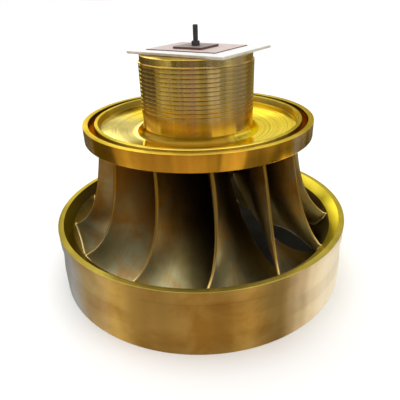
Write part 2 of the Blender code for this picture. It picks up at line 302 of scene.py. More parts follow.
def ladder(loop, reverse):
    """Faces across a closed loop of vertices, from its first and last one to its middle."""
    loop = loop.tolist()
    last = len(loop) - 1
    faces = []
    for i in range(len(loop) // 2):
        corners = [loop[i], loop[i + 1], loop[last - i - 1], loop[last - i]]
        faces.append(list(dict.fromkeys(corners)))
    faces = [face for face in faces if len(face) > 2]
    return [face[::-1] for face in faces] if reverse else faces


def turned_points(outline, segments):
    """Turns an outline of (radius, height) about Z."""
    outline = np.array(outline, float)
    azimuth = np.arange(segments) * 2 * math.pi / segments
    return np.stack(
        [
            outline[:, :1] * np.cos(azimuth),
            outline[:, :1] * np.sin(azimuth),
            np.repeat(outline[:, 1:], segments, axis=1),
        ],
        axis=-1,
    )


def turned_piece(name, node, zones, segments):
    """A turned piece whose outline is made of zones, each an outline and its material."""
    outline = []
    row_material = []
    materials = []
    for points, material in zones:
        if material not in materials:
            materials.append(material)
        outline += list(points)
        row_material += [materials.index(material)] * len(points)
    mesh = grid_mesh(name, turned_points(outline, segments), True, row_material=row_material)
    return place_piece(name, node, mesh, materials)


def place_piece(name, node, mesh, materials):
    """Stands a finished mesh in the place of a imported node."""
    for material in materials:
        mesh.materials.append(material)
    mesh.shade_smooth()
    mesh.set_sharp_from_angle(angle=SHARP_ANGLE)
    piece = bpy.data.objects.new(name, mesh)
    bpy.context.scene.collection.objects.link(piece)
    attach(piece, "root")
    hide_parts(node)
    return piece


# Turned castings


def crown_water_line():
    return bezier(CROWN_CURVE, np.linspace(0.0, 1.0, 60))


def neck_fillet_line():
    """A quarter ellipse from the neck's wall down to the dished face."""
    angle = np.linspace(0.0, math.pi / 2, 12)
    radius = DISH_LOW[0] - (DISH_LOW[0] - NECK_RADIUS) * np.cos(angle)
    height = NECK_FOOT - (NECK_FOOT - DISH_LOW[1]) * np.sin(angle)
    return np.stack([radius, height], axis=-1)


def dish_line():
    """The dished face, one smooth curve from the foot of the neck out to the inner lip."""
    return bezier(DISH_CURVE, np.linspace(0.0, 1.0, 26))


def make_crown(face, fillet, lip, groove, rim, brown):
    rim_wall = rounded(
        [
            (OUTER_LIP_MIDDLE, CROWN_TOP, 0),
            (CROWN_RADIUS, CROWN_TOP, FINE_EDGE),
            (CROWN_RADIUS, CROWN_UNDERSIDE, SOFT_EDGE),
            (OUTER_LIP_MIDDLE, CROWN_UNDERSIDE - UNDERSIDE_FALL, 0),
        ]
    )[1:-1]
    under = [point for point in crown_water_line() if point[0] < CROWN_RADIUS - 2 * SOFT_EDGE]
    hub_radius, hub_foot = CROWN_CURVE[-1]
    bore = rounded(
        [
            (hub_radius, hub_foot, 0),
            (BORE_RADIUS, hub_foot, SOFT_EDGE),
            (BORE_RADIUS, NECK_FOOT, SOFT_EDGE),
            (NECK_RADIUS - NECK_SEAT_WIDTH, NECK_FOOT, 0),
        ]
    )
    inner_lip = rounded(
        [
            (*DISH_EDGE, 0),
            (*INNER_LIP_FOOT, GROOVE_CORNER),
            (INNER_LIP_INSIDE, CROWN_TOP, LIP_EDGE),
            (INNER_LIP_OUTSIDE, CROWN_TOP, LIP_EDGE),
            (INNER_LIP_OUTSIDE, CROWN_TOP - INNER_LIP_METAL, 0),
        ]
    )[1:]
    groove_floor = CROWN_TOP - LIP_GROOVE_DEPTH
    lip_groove = rounded(
        [
            (INNER_LIP_OUTSIDE, CROWN_TOP - INNER_LIP_METAL, 0),
            (INNER_LIP_OUTSIDE, groove_floor, GROOVE_CORNER),
            (OUTER_LIP_INSIDE, groove_floor, GROOVE_CORNER),
            (OUTER_LIP_INSIDE, CROWN_TOP - OUTER_LIP_METAL, 0),
        ]
    )[1:]
    outer_lip = rounded(
        [
            (OUTER_LIP_INSIDE, CROWN_TOP - OUTER_LIP_METAL, 0),
            (OUTER_LIP_INSIDE, CROWN_TOP, SOFT_EDGE),
            (OUTER_LIP_MIDDLE, CROWN_TOP, 0),
        ]
    )[1:]
    neck_fillet = neck_fillet_line()
    zones = (
        (rim_wall, rim),
        (under, brown),
        (bore, fillet),
        (neck_fillet[:-2], fillet),
        (neck_fillet[-2:], face),
        (dish_line()[1:], face),
        (inner_lip, lip),
        (lip_groove, groove),
        (outer_lip, lip),
    )
    return turned_piece("crown_turned", "crown", zones, RING_SEGMENTS)


def make_neck(metal):
    corners = [
        (NECK_TOP_RADIUS - NECK_TOP_WIDTH, NECK_TOP, 0),
        (NECK_TOP_RADIUS, NECK_TOP, EDGE),
        (NECK_TOP_RADIUS, FIRST_RIB_TOP, NECK_STEP_EDGE),
        (NECK_RADIUS, FIRST_RIB_TOP, EDGE),
    ]
    for i in range(GROOVE_COUNT):
        height = GROOVE_TOP - i * GROOVE_PITCH
        corners += [
            (NECK_RADIUS, height + GROOVE_HALF_WIDTH, RIB_EDGE),
            (NECK_RADIUS - GROOVE_DEPTH, height, GROOVE_ROOT),
            (NECK_RADIUS, height - GROOVE_HALF_WIDTH, RIB_EDGE),
        ]
    corners += [
        (NECK_RADIUS, NECK_FOOT, 0),
        (NECK_BORE_RADIUS, NECK_FOOT, 0),
        (NECK_BORE_RADIUS, NECK_TOP, SOFT_EDGE),
        (NECK_TOP_RADIUS - NECK_TOP_WIDTH, NECK_TOP, 0),
    ]
    zones = [(rounded(corners, arc_steps=3)[:-1], metal)]
    return turned_piece("labyrinth_neck_turned", "labyrinth_neck", zones, NECK_SEGMENTS)


def band_throat_radius(height):
    above = height - THROAT_HEIGHT
    curvature = np.where(above > 0, THROAT_CURVATURE_ABOVE, THROAT_CURVATURE_BELOW)
    return THROAT_RADIUS + curvature * above**2


def make_band(lip, mouth, wall, throat):
    rim_inside = BAND_RADIUS - BAND_RIM_WIDTH
    rim_middle = BAND_RADIUS - BAND_RIM_WIDTH / 2
    outside = rounded(
        [
            (rim_middle, BAND_HEIGHT, 0),
            (BAND_RADIUS, BAND_HEIGHT, EDGE),
            (BAND_RADIUS, BAND_STEP_HEIGHT, FINE_EDGE),
            (BAND_WAIST_RADIUS, BAND_STEP_HEIGHT - BAND_STEP, FINE_EDGE),
            (BAND_WAIST_RADIUS, BAND_WAIST_HEIGHT, BAND_WAIST_BLEND),
            (BAND_FOOT_RADIUS, BAND_FOOT_HEIGHT, BAND_WAIST_BLEND),
            (BAND_FOOT_RADIUS, 0.0, EDGE),
            (BAND_FOOT_RADIUS - BAND_FOOT_WIDTH, 0.0, 0),
        ],
        arc_steps=6,
    )[1:]
    heights = np.linspace(0.0, THROAT_TOP, 40)
    inside = np.stack([band_throat_radius(heights), heights], axis=-1)
    mouth_and_rim = rounded(
        [
            (float(band_throat_radius(BAND_MOUTH_HEIGHT)), BAND_MOUTH_HEIGHT, 0),
            (rim_inside, BAND_HEIGHT, FINE_EDGE),
            (rim_middle, BAND_HEIGHT, 0),
        ]
    )
    zones = (
        (outside[:5], lip),
        (outside[5:], wall),
        (inside, throat),
        (mouth_and_rim[:1], mouth),
        (mouth_and_rim[1:], lip),
    )
    return turned_piece("band_turned", "band", zones, RING_SEGMENTS)


# Blades


def crown_end(chord):
    share = CROWN_END_START + (CROWN_END_STOP - CROWN_END_START) * chord
    return bezier(CROWN_CURVE, share)


def band_end(chord):
    height = LEADING_EDGE[3][1] + (TRAILING_EDGE[3][1] - LEADING_EDGE[3][1]) * chord
    return np.stack([band_throat_radius(height), height], axis=-1)


def camber(span, chord):
    """The blade's middle surface, blended from its four edges, at arrays of span and chord."""
    lead = bezier(LEADING_EDGE, span)
    trail = bezier(TRAILING_EDGE, span)
    s = span[..., None]
    t = chord[..., None]
    near = (1 - s) * crown_end(np.zeros(1)) + s * band_end(np.zeros(1))
    far = (1 - s) * crown_end(np.ones(1)) + s * band_end(np.ones(1))
    rows = (1 - s) * crown_end(chord) + s * band_end(chord)
    columns = (1 - t) * lead[..., :2] + t * trail[..., :2]
    place = rows + columns - (1 - t) * near - t * far
    even = EVEN_WRAP_AT_BAND * span
    wrap = even * chord + (1 - even) * np.maximum(chord, 0.0) ** LATE_WRAP_POWER
    azimuth = FRONT_AZIMUTH + np.radians(lead[..., 2] + (trail[..., 2] - lead[..., 2]) * wrap)
    radius, height = place[..., 0], place[..., 1]
    return np.stack([radius * np.cos(azimuth), radius * np.sin(azimuth), height], axis=-1)


def unit(vectors):
    return vectors / np.linalg.norm(vectors, axis=-1, keepdims=True)


def camber_normal(span, chord):
    step = 0.002
    along = camber(span, chord + step) - camber(span, chord - step)
    across = camber(span + step, chord) - camber(span - step, chord)
    return unit(np.cross(along, across))


def half_thickness(span, chord):
    """A round nose, a belly a third of the way back, and a thin tail with eased corners."""
    nose = CROWN_NOSE_THICKNESS + (BAND_NOSE_THICKNESS - CROWN_NOSE_THICKNESS) * span
    belly = CROWN_BELLY_THICKNESS + (BAND_BELLY_THICKNESS - CROWN_BELLY_THICKNESS) * span
    front = nose + (belly - nose) * np.sin(math.pi / 2 * np.minimum(chord / BELLY_STATION, 1))
    back = np.clip((chord - BELLY_STATION) / (1 - BELLY_STATION), 0, 1)
    rear = belly + (TAIL_THICKNESS - belly) * back**TAIL_TAPER
    full = np.where(chord < BELLY_STATION, front, rear)
    roundness = 1 - np.clip(1 - chord / NOSE_LENGTH, 0, 1) ** 2
    tail_edge = np.clip((chord - TAIL_START) / (1 - TAIL_START), 0, 1)
    return full / 2 * np.sqrt(roundness) * np.sqrt(1 - TAIL_ROUNDNESS * tail_edge**2)


def blade_points():
    """One blade as rows from crown to band, each a closed loop up one side and down the other."""
    nose = NOSE_LENGTH * (1 - np.cos(np.linspace(0, math.pi / 2, NOSE_STEPS)))
    crowded = np.linspace(0, 1, CHORD_STEPS)[1:] ** CHORD_CROWDING
    body = NOSE_LENGTH + (TAIL_START - NOSE_LENGTH) * crowded
    stations = np.concatenate([nose, body, TAIL_STATIONS])
    loop = np.concatenate([stations[::-1], stations[1:]])
    side = np.concatenate([np.ones(len(stations)), -np.ones(len(stations) - 1)])
    middle = np.linspace(0.0, 1.0, SPAN_ROWS - 2)
    eased = (1 - np.cos(math.pi * middle)) / 2
    inner = SPAN_EASING * eased + (1 - SPAN_EASING) * middle
    spans = np.concatenate([[-SPAN_INTO_CROWN], inner, [1 + SPAN_INTO_BAND]])
    span, chord = np.meshgrid(spans, loop, indexing="ij")
    points = camber(span, chord)
    points += camber_normal(span, chord) * (half_thickness(span, chord) * side)[..., None]
    return points, spans, loop


def root_distances(points, spans):
    """How far each point lies, along its own row of the blade, from the crown and from the band."""
    steps = np.linalg.norm(np.diff(points, axis=0), axis=-1)
    along = np.concatenate([np.zeros((1, points.shape[1])), np.cumsum(steps, axis=0)])
    crown_row = int(np.argmin(np.abs(spans)))
    band_row = int(np.argmin(np.abs(spans - 1)))
    return along - along[crown_row], along[band_row] - along


def fillet_swell(distance, radius):
    """How far a root fillet stands off the blade at this distance from the casting."""
    inside = np.clip(radius - np.maximum(distance, 0), 0, None)
    return radius - np.sqrt(np.maximum(radius**2 - inside**2, 0))


def filleted_blade():
    """The blade with its roots swelling out into the castings, the way it faces, and its masks."""
    points, spans, loop = blade_points()
    from_crown, from_band = root_distances(points, spans)
    ahead = np.roll(points, -1, axis=1) - np.roll(points, 1, axis=1)
    up = np.gradient(points, axis=0)
    outward = unit(np.cross(ahead, up))
    nose_share = np.exp(-((loop / NOSE_FILLET_REACH) ** 2))
    radius = ROOT_FILLET + (NOSE_ROOT_FILLET - ROOT_FILLET) * nose_share
    swell = fillet_swell(from_crown, radius) + fillet_swell(from_band, radius)
    centre = points.mean(axis=1, keepdims=True)
    facing = np.sign(((points - centre) * outward).sum(axis=-1).mean())
    points = points + outward * (facing * swell)[..., None]
    points[..., 2] = np.maximum(points[..., 2], BLADE_LOW)
    masks = {
        "nose": np.exp(-((loop / NOSE_MASK_REACH) ** 2))[None, :].repeat(len(points), axis=0),
        "root": np.exp(-((from_band.clip(0) / ROOT_MASK_REACH) ** 2)),
        "span": spans[:, None].repeat(len(loop), axis=1),
        "chord": loop[None, :].repeat(len(points), axis=0),
    }
    return points, facing, masks


def make_blades(metal):
    points, facing, masks = filleted_blade()
    if facing < 0:
        points = points[:, ::-1]
        masks = {label: mask[:, ::-1] for label, mask in masks.items()}
    for i in range(BLADE_COUNT):
        angle = 2 * math.pi * i / BLADE_COUNT
        c, s = math.cos(angle), math.sin(angle)
        turn = np.array(((c, s, 0.0), (-s, c, 0.0), (0.0, 0.0, 1.0)))
        name = f"blade_{i + 1:02d}"
        mesh = grid_mesh(f"{name}_ground", points @ turn, close_ends=True)
        for label, mask in masks.items():
            layer = mesh.attributes.new(label, "FLOAT", "POINT")
            layer.data.foreach_set("value", mask.reshape(-1).astype(np.float32))
        place_piece(f"{name}_ground", name, mesh, [metal])


# Cover, clamp, nuts and rod


def square_outline():
    """A square from -1 to 1, as points at even steps along its sides."""
    points = []
    for c, s in ((1, 0), (0, 1), (-1, 0), (0, -1)):
        for step in range(SLAB_SIDE_SEGMENTS):
            along = -1.0 + 2.0 * step / SLAB_SIDE_SEGMENTS
            points.append((c - along * s, s + along * c))
    return np.array(points)


def make_slab(node, size, place, turn, edge, materials):
    """A flat piece with eased edges and the rod's hole, its sides and its top in their own materials."""
    name = f"{node}_eased"
    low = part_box(node)[0].z
    outline = square_outline()
    half = np.array(size[:2]) / 2
    c, s = math.cos(turn), math.sin(turn)
    turned = np.array(((c, s), (-s, c)))
    axis = -np.array(place) @ turned.T
    azimuth = np.arctan2(outline[:, 1], outline[:, 0])
    hole = ROD_HOLE_RADIUS * np.stack([np.cos(azimuth), np.sin(azimuth)], axis=-1)

    # Rings from the hole out to the side, each with its depth under the face, and 1 for the top's material
    rings = [(axis + hole, 0.0, 1)]
    for share in SLAB_RING_SHARES:
        rings.append((axis + (outline * (half - edge) - axis) * share, 0.0, 1))
    for share in np.sin(np.linspace(0, math.pi / 2, 4)):
        rings.append((outline * (half - edge * (1 - share)), edge * share, 1 if share == 0 else 0))

    upper = [(ring, low + size[2] - depth, mark) for ring, depth, mark in rings]
    lower = [(ring, low + depth, 0) for ring, depth, _ in rings[::-1]]
    rows = []
    for ring, height, _ in upper + lower:
        flat = ring @ turned + np.array(place)
        rows.append(np.column_stack([flat, np.full(len(flat), height)]))
    row_material = [mark for _, _, mark in upper + lower]
    mesh = grid_mesh(name, np.array(rows)[:, ::-1], True, row_material=row_material)
    return place_piece(name, node, mesh, materials)


def make_nut(name, node, metal):
    """A hexagon nut: flats cut by a cone top and bottom, and a countersunk bore."""
    low, high = (corner.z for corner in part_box(node))
    azimuth = np.arange(NUT_SEGMENTS) * 2 * math.pi / NUT_SEGMENTS
    even = np.ones(NUT_SEGMENTS)
    flat = NUT_ACROSS_FLATS / 2
    sixth = math.pi / 3
    hexagon = flat / np.cos((azimuth + sixth / 2) % sixth - sixth / 2)
    face = flat * NUT_FACE_SHARE
    drop = (hexagon - face) * math.tan(NUT_CHAMFER)
    bore = ROD_HOLE_RADIUS
    mouth = bore + COUNTERSINK
    rings = [
        (bore * even, (high - COUNTERSINK) * even),
        (mouth * even, high * even),
        (face * even, high * even),
        (hexagon, high - drop),
        (hexagon, low + drop),
        (face * even, low * even),
        (mouth * even, low * even),
        (bore * even, (low + COUNTERSINK) * even),
    ]
    points = np.array([np.stack([r * np.cos(azimuth), r * np.sin(azimuth), z], -1) for r, z in rings])
    return place_piece(name, node, grid_mesh(name, points, True), [metal])


def make_rod(name, node, metal):
    """The clamp rod: plain between two lengths of real thread, with chamfered ends."""
    low, high = (corner.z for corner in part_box(node))
    step = THREAD_PITCH / ROWS_PER_THREAD
    threaded_low = np.arange(low, low + THREAD_LENGTH, step)
    threaded_high = np.arange(high - THREAD_LENGTH, high, step)
    heights = np.concatenate([threaded_low, threaded_high, [high]])
    azimuth = np.arange(ROD_SEGMENTS) * 2 * math.pi / ROD_SEGMENTS
    turn = (heights[:, None] / THREAD_PITCH - azimuth / (2 * math.pi)) % 1.0
    tooth = np.abs(turn * 2 - 1)
    from_end = np.minimum(heights - low, high - heights)
    run_out = np.clip((THREAD_LENGTH - from_end) / THREAD_RUN_OUT, 0, 1)
    chamfer = np.clip(ROD_CHAMFER - from_end, 0, None)
    radius = ROD_RADIUS - THREAD_DEPTH * tooth * run_out[:, None] - chamfer[:, None]
    height = np.repeat(heights[:, None], ROD_SEGMENTS, axis=1)
    points = np.stack([radius * np.cos(azimuth), radius * np.sin(azimuth), height], axis=-1)
    return place_piece(name, node, grid_mesh(name, points, close_ends=True), [metal])


# Materials


class Recipe:
    """A material built up node by node, in the object's own coordinates in metres."""

    def __init__(self, name):
        self.material = bpy.data.materials.new(name)
        self.material.use_nodes = True
        self.nodes = self.material.node_tree.nodes
        self.links = self.material.node_tree.links
        self.shader = self.nodes["Principled BSDF"]
        self.place = self.nodes.new("ShaderNodeTexCoord").outputs["Object"]

    @classmethod
    def around(cls, tree):
        """The same tools for the world's nodes, where the place is the direction."""
        recipe = cls.__new__(cls)
        recipe.nodes = tree.nodes
        recipe.links = tree.links
        recipe.place = recipe.nodes.new("ShaderNodeTexCoord").outputs["Generated"]
        return recipe

    def put(self, socket, value):
        if isinstance(value, bpy.types.NodeSocket):
            self.links.new(value, socket)
        else:
            socket.default_value = value

    def calc(self, operation, *values):
        node = self.nodes.new("ShaderNodeMath")
        node.operation = operation
        for socket, value in zip(node.inputs, values):
            self.put(socket, value)
        return node.outputs[0]

    def plus(self, one, two):
        return self.calc("ADD", one, two)

    def minus(self, one, two):
        return self.calc("SUBTRACT", one, two)

    def times(self, one, two):
        return self.calc("MULTIPLY", one, two)

    def over(self, one, two):
        return self.calc("DIVIDE", one, two)

    def vector_plus(self, one, two):
        node = self.nodes.new("ShaderNodeVectorMath")
        self.put(node.inputs[0], one)
        self.put(node.inputs[1], two)
        return node.outputs[0]

    def vector_times(self, vector, factor):
        node = self.nodes.new("ShaderNodeVectorMath")
        node.operation = "SCALE"
        self.put(node.inputs[0], vector)
        self.put(node.inputs["Scale"], factor)
        return node.outputs[0]

    def split(self):
        node = self.nodes.new("ShaderNodeSeparateXYZ")
        self.put(node.inputs[0], self.place)
        return node.outputs

    def join(self, x, y, z):
        node = self.nodes.new("ShaderNodeCombineXYZ")
        for socket, value in zip(node.inputs, (x, y, z)):
            self.put(socket, value)
        return node.outputs[0]

    def radius(self, x, y):
        return self.calc("POWER", self.plus(self.times(x, x), self.times(y, y)), 0.5)

    def facing(self, x, y, radius, azimuth):
        """How squarely a place lies towards an azimuth in degrees: 1 straight there, -1 opposite."""
        turn = math.radians(azimuth)
        ahead = self.plus(self.times(x, math.cos(turn)), self.times(y, math.sin(turn)))
        return self.over(ahead, radius)

    def noise(self, scale, detail=3.0, roughness=0.5, vector=None, distortion=0.0):
        node = self.nodes.new("ShaderNodeTexNoise")
        self.put(node.inputs["Vector"], vector or self.place)
        node.inputs["Scale"].default_value = scale
        node.inputs["Detail"].default_value = detail
        node.inputs["Roughness"].default_value = roughness
        node.inputs["Distortion"].default_value = distortion
        return node.outputs["Fac"]

    def span(self, value, low, high, to_low=0.0, to_high=1.0, eased=False):
        """The value's way from low to high, clamped, as a number from to_low to to_high."""
        node = self.nodes.new("ShaderNodeMapRange")
        node.interpolation_type = "SMOOTHSTEP" if eased else "LINEAR"
        self.put(node.inputs["Value"], value)
        for label, number in (
            ("From Min", low), ("From Max", high), ("To Min", to_low), ("To Max", to_high)
        ):
            node.inputs[label].default_value = number
        return node.outputs["Result"]

    def blend(self, share, one, two):
        node = self.nodes.new("ShaderNodeMix")
        node.data_type = "RGBA"
        self.put(node.inputs["Factor"], share)
        self.put(node.inputs["A"], one)
        self.put(node.inputs["B"], two)
        return node.outputs["Result"]

    def bump(self, height, strength, distance, below=None):
        node = self.nodes.new("ShaderNodeBump")
        node.inputs["Strength"].default_value = strength
        node.inputs["Distance"].default_value = distance
        self.put(node.inputs["Height"], height)
        if below is not None:
            self.put(node.inputs["Normal"], below)
        return node.outputs["Normal"]

    def attribute(self, name):
        node = self.nodes.new("ShaderNodeAttribute")
        node.attribute_name = name
        return node.outputs["Fac"]

    def turned_grain(self, amount):
        """Highlights stretched across the tool marks that run round the axis."""
        node = self.nodes.new("ShaderNodeTangent")
        node.direction_type = "RADIAL"
        node.axis = "Z"
        self.set(Tangent=node.outputs[0], Anisotropic=amount, Anisotropic_Rotation=0.25)

    def set(self, **values):
        for label, value in values.items():
            self.put(self.shader.inputs[label.replace("_", " ")], value)


def rgb(red, green, blue):
    return (red, green, blue, 1.0)


def darken_grooves(recipe, height, base):
    """Darker metal in the neck's labyrinth grooves."""
    foot = GROOVE_TOP - (GROOVE_COUNT - 0.5) * GROOVE_PITCH
    steps = recipe.over(recipe.minus(height, foot), GROOVE_PITCH)
    off_centre = recipe.calc("ABSOLUTE", recipe.minus(recipe.calc("FRACT", steps), 0.5))
    half_width = GROOVE_HALF_WIDTH / GROOVE_PITCH
    near = recipe.span(off_centre, half_width, 1.5 * half_width, 0.5, 0.0)
    above_foot = recipe.calc("GREATER_THAN", steps, 0.0)
    below_top = recipe.calc("LESS_THAN", steps, float(GROOVE_COUNT))
    share = recipe.times(near, recipe.times(above_foot, below_top))
    return recipe.blend(share, base, rgb(0.17, 0.10, 0.03))


def turned_bronze(
    name, bright, dark, roughness, grain, rings, reflection_streaks, haze=0.0, tint=(1.0, 0.86, 0.42), painted_light=(),
    reflection_strip=None, grooved=False,
):
    """Turned bronze: tool marks ringing the axis, painted reflections streaking along it, tarnish, haze
    and washes of painted light and shade.

    A wash is a painted reflection, highlight or shade: azimuth and half width in degrees, colour,
    strength, and how much of the metal's reflection it dulls.
    """
    recipe = Recipe(name)
    x, y, height = recipe.split()
    radius = recipe.radius(x, y)
    outward_x = recipe.over(x, radius)
    outward_y = recipe.over(y, radius)
    ring_place = recipe.join(radius, recipe.times(recipe.calc("ARCTAN2", y, x), 0.003), height)
    fine = recipe.noise(900.0, 2.0, 0.6, ring_place)
    coarse = recipe.noise(150.0, 4.0, 0.7, ring_place)
    cloud = recipe.noise(6.0, 4.0, 0.6, distortion=0.4)
    # Painted reflections: streaking along the axis, from noise that changes only round it
    reflection_streak = recipe.noise(5.0, 2.5, 0.55, recipe.join(outward_x, outward_y, 0.0))
    base = recipe.blend(recipe.span(cloud, 0.4, 0.65), rgb(*bright), rgb(*dark))
    ring_shade = recipe.span(coarse, 0.3, 0.7, 1.0 - rings, 1.0 + rings)
    reflection_streak_shade = recipe.span(reflection_streak, 0.3, 0.7, 1.0 - reflection_streaks, 1.0 + reflection_streaks)
    base = recipe.vector_times(base, recipe.times(ring_shade, reflection_streak_shade))
    # Painted reflections: bands of the given colour round the axis
    if reflection_strip:
        reflection_strips = recipe.noise(4.0, 3.0, 0.6, recipe.join(outward_y, outward_x, 5.0))
        base = recipe.blend(recipe.span(reflection_strips, 0.45, 0.60, 0.0, 0.75), base, rgb(*reflection_strip))
    if grooved:
        base = darken_grooves(recipe, height, base)
    metallic = recipe.span(cloud, 0.3, 0.7, 1.0, 1.0 - haze) if haze else 1.0
    # Each wash paints a reflection, highlight or shade round its azimuth
    for azimuth, half_width, colour, strength, dulling in painted_light:
        wander = recipe.span(reflection_streak, 0.3, 0.7, -0.08, 0.08)
        facing = recipe.plus(recipe.facing(x, y, radius, azimuth), wander)
        edge = math.cos(math.radians(half_width))
        core = math.cos(math.radians(half_width * PAINTED_LIGHT_CORE))
        share = recipe.span(facing, edge, core, 0.0, strength, eased=True)
        base = recipe.blend(share, base, rgb(*colour))
        if dulling:
            metallic = recipe.times(metallic, recipe.minus(1.0, recipe.times(share, dulling)))
    recipe.set(Base_Color=base, Metallic=metallic, Specular_Tint=rgb(*tint))
    recipe.set(Roughness=recipe.span(fine, 0.3, 0.7, roughness - 0.03, roughness + 0.03))
    marks = recipe.plus(fine, recipe.times(coarse, 3.0))
    recipe.set(Normal=recipe.bump(marks, 1.0, TOOL_MARK_DEPTH))
    recipe.turned_grain(grain)
    return recipe.material


def crown_metals():
    """The crown's dished face, neck fillet, lips, the groove between them, and its rim."""
    # A painted pale reflection on the left of the dished face
    face = turned_bronze(
        "dish_bronze", (0.90, 0.66, 0.06), (0.80, 0.54, 0.045),
        roughness=0.12, grain=0.92, rings=0.48, reflection_streaks=0.05, tint=(1.0, 0.92, 0.50),
        painted_light=[(188.0, 44.0, (0.86, 0.76, 0.36), 0.55, 0.4)],
    )
    # The fillet has painted shade at its front and a painted highlight on its right
    fillet = turned_bronze(
        "fillet_bronze", (0.34, 0.21, 0.03), (0.27, 0.16, 0.02),
        roughness=0.30, grain=0.8, rings=0.05, reflection_streaks=0.12, tint=(0.80, 0.50, 0.10),
        painted_light=[
            (-97.0, 66.0, (0.28, 0.16, 0.008), 0.8, 0.6),
            (-18.0, 48.0, (0.96, 0.76, 0.08), 0.85, 0.0),
        ],
    )
    # A painted highlight along the front of the crown's lips
    lip = turned_bronze(
        "crown_lip_bronze", (0.50, 0.38, 0.07), (0.42, 0.31, 0.05),
        roughness=0.30, grain=0.8, rings=0.08, reflection_streaks=0.12, tint=(0.80, 0.66, 0.36),
        painted_light=[(-90.0, 62.0, (0.92, 0.72, 0.12), 0.85, 0.0)],
    )
    # Painted light along the front of the groove between the lips
    groove = turned_bronze(
        "groove_bronze", (0.16, 0.08, 0.01), (0.12, 0.06, 0.008),
        roughness=0.30, grain=0.8, rings=0.05, reflection_streaks=0.15, tint=(0.60, 0.36, 0.12),
        painted_light=[(-90.0, 62.0, (0.50, 0.33, 0.04), 0.85, 0.0)],
    )
    # Painted grey-olive reflections on the right and on the left of the rim wall
    rim = turned_bronze(
        "rim_wall_bronze", (0.88, 0.43, 0.03), (0.76, 0.34, 0.03),
        roughness=0.18, grain=0.85, rings=0.03, reflection_streaks=0.30,
        painted_light=[
            (-22.0, 26.0, (0.46, 0.42, 0.30), 0.7, 0.3),
            (200.0, 20.0, (0.36, 0.30, 0.18), 0.6, 0.3),
        ],
    )
    return face, fillet, lip, groove, rim


def neck_metal():
    # Painted reflections on the neck: an olive-grey patch at the front right and a narrow reddish one in
    # front
    return turned_bronze(
        "neck_bronze", (0.78, 0.56, 0.12), (0.66, 0.45, 0.08),
        roughness=0.18, grain=0.85, rings=0.03, reflection_streaks=0.34, reflection_strip=(0.56, 0.34, 0.16), grooved=True,
        painted_light=[
            (-62.0, 34.0, (0.48, 0.40, 0.26), 0.4, 0.5),
            (-100.0, 9.0, (0.50, 0.28, 0.16), 0.4, 0.3),
        ],
    )


def band_metals():
    """The band's rim, inlet mouth, outer wall and throat."""
    lip = turned_bronze(
        "lip_bronze", (0.52, 0.40, 0.07), (0.44, 0.33, 0.05),
        roughness=0.30, grain=0.8, rings=0.08, reflection_streaks=0.12, tint=(0.80, 0.66, 0.36),
    )
    # Painted shade on the left of the mouth and a painted highlight on its right
    mouth = turned_bronze(
        "mouth_bronze", (0.60, 0.40, 0.06), (0.44, 0.27, 0.04),
        roughness=0.36, grain=0.7, rings=0.10, reflection_streaks=0.12,
        painted_light=[
            (190.0, 88.0, (0.045, 0.028, 0.008), 1.0, 0.0),
            (0.0, 60.0, (0.98, 0.80, 0.06), 0.9, 0.0),
        ],
    )
    # Painted reflections on the band's wall: grey on its left and pale tan on its right
    wall = turned_bronze(
        "band_wall_bronze", (0.70, 0.41, 0.10), (0.52, 0.25, 0.04),
        roughness=0.36, grain=0.8, rings=0.03, reflection_streaks=0.14, haze=0.12,
        painted_light=[
            (194.0, 46.0, (0.29, 0.315, 0.32), 0.86, 1.0),
            (-12.0, 62.0, (0.80, 0.70, 0.50), 0.8, 1.0),
        ],
    )
    throat = turned_bronze(
        "throat_bronze", (0.20, 0.15, 0.06), (0.12, 0.085, 0.035),
        roughness=0.45, grain=0.5, rings=0.10, reflection_streaks=0.10,
    )
    return lip, mouth, wall, throat


